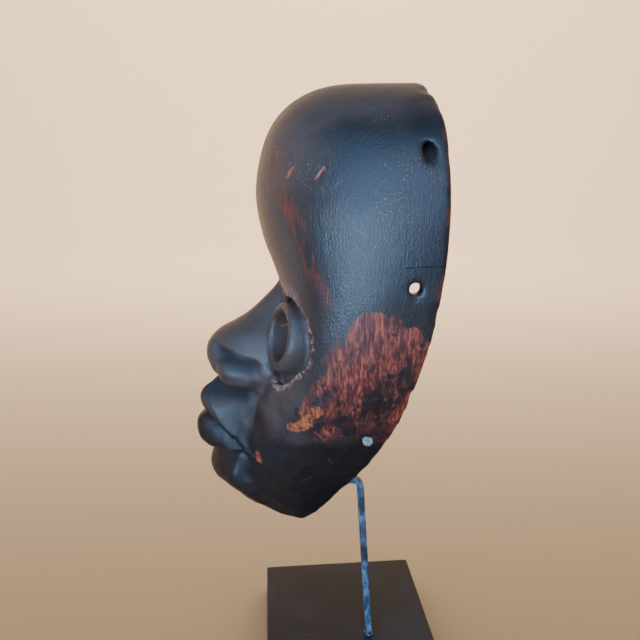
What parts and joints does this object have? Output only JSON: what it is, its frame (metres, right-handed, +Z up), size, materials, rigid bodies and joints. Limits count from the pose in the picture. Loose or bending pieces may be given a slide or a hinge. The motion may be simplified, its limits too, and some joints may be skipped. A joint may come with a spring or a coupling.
{
  "type": "carved wooden face mask on display stand",
  "caption": "Hollow carved dark wooden face mask with tubular ring eyes, hung on a bent square steel rod that stands in a flat black base.",
  "frame": {"origin": "centre of the flat underside of the base, which is the plane the stand rests on", "axes": "+Z up, -Y out of the mask's face, +X to the mask's own left cheek"},
  "size_m": [0.145, 0.1407, 0.346],
  "materials": {
    "patinated_wood": "dark semi-gloss patina, worn to red-brown on the cheeks",
    "grey_peg": "dusty grey, matte",
    "black_lacquer": "black paint, satin, lightly scratched",
    "black_felt": "felt",
    "black_paint": "black paint with rubbed blue-grey patches",
    "black_rubber": "matte",
    "zinc_steel": "zinc plated"
  },
  "bodies": {
    "stand": {"base_block": "black_lacquer", "base_felt": "black_felt", "post_bar": "black_paint", "fork_bar": "black_paint", "chin_stub": "black_paint", "fork_cap_left": "black_rubber", "fork_cap_right": "black_rubber", "chin_cap": "black_rubber", "foot_washer": "zinc_steel", "foot_nut": "zinc_steel"},
    "mask": {"mask_shell": "patinated_wood", "rim_peg_left": "grey_peg", "rim_peg_right": "grey_peg"}
  },
  "joints": [
    {"name": "mask_lift", "type": "slide", "parent": "stand", "child": "mask", "axis": [0, -0.9397, 0.342], "range_m": [0, 0.075]}
  ]
}
